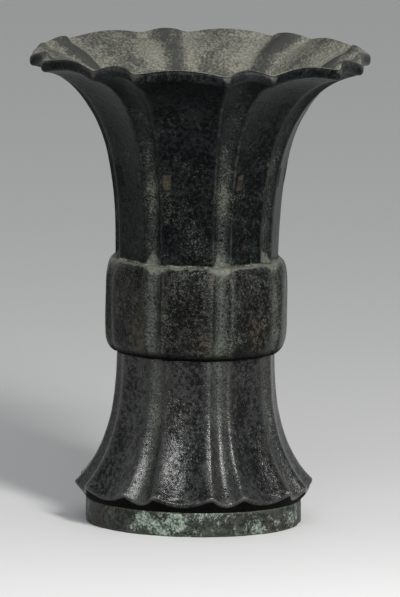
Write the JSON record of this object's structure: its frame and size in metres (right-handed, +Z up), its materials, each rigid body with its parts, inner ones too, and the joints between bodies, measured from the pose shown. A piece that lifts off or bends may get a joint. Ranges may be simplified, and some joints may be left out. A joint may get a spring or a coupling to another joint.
{
  "type": "gu vase",
  "caption": "Bronze gu-form beaker vase with a fluted trumpet neck, lobed middle band, spreading scalloped foot and plain standing ring.",
  "frame": {"origin": "centre of the standing face of the foot ring, on the vessel's axis", "axes": "+Z up the axis to the mouth, -Y through the middle of a broad flute, which is the front"},
  "size_m": [0.141, 0.1403, 0.2001],
  "materials": {
    "neck_bronze": "dark patinated bronze with green dust in the flutes and a waxed sheen",
    "chaplet_bronze": "brown chaplets filed flush",
    "band_bronze": "dark bronze, browner and greener where worn",
    "foot_bronze": "dark patinated bronze, waxed on the arrises",
    "ring_bronze": "grey-green bronze with malachite patches",
    "plate_bronze": "dull dark bronze",
    "solder": "dull grey solder"
  },
  "bodies": {
    "root": {"neck": "neck_bronze", "neck_chaplets": "chaplet_bronze", "middle_band": "band_bronze", "foot": "foot_bronze", "foot_ring": "ring_bronze", "base_plate": "plate_bronze", "upper_solder": "solder", "lower_solder": "solder", "ring_solder": "solder", "base_solder": "solder"}
  },
  "joints": []
}
